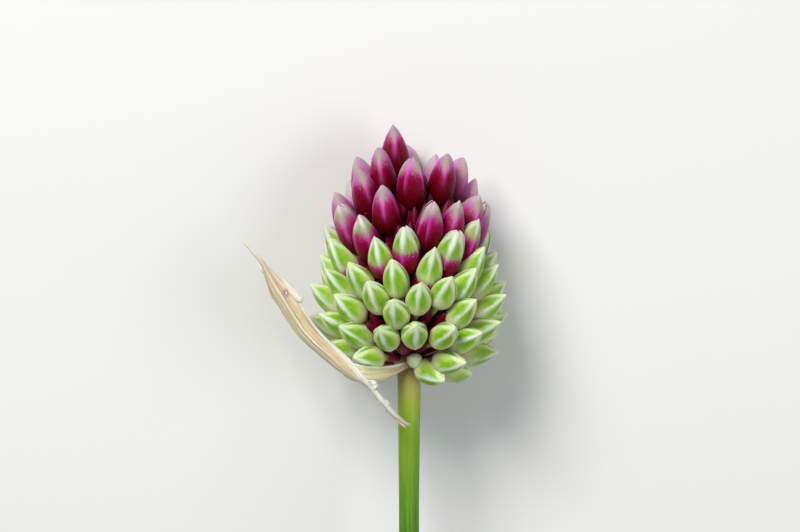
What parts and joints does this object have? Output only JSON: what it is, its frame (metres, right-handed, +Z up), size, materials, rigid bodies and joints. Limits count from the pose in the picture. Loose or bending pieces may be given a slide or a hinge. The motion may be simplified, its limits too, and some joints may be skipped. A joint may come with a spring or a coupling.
{
  "type": "allium flower head",
  "caption": "Egg-shaped umbel of closed flower buds, green below and crimson above, on a short round scape with a torn papery spathe, as picked and lying on its side.",
  "frame": {"origin": "on the surface that the head lies on, under the middle of the bounding box of head, scape and spathe", "axes": "+Z straight up from the surface, +Y along the head from the cut scape towards the crimson tip, +X to the right of a viewer who looks down on it with the tip away from them"},
  "size_m": [0.0304, 0.0546, 0.0217],
  "materials": {
    "scape": "satin",
    "purple_buds": "satin",
    "green_buds": "satin",
    "spathe": "matt"
  },
  "bodies": {
    "root": {"scape": "scape", "purple_buds": "purple_buds", "green_buds": "green_buds", "spathe": "spathe"}
  },
  "joints": []
}
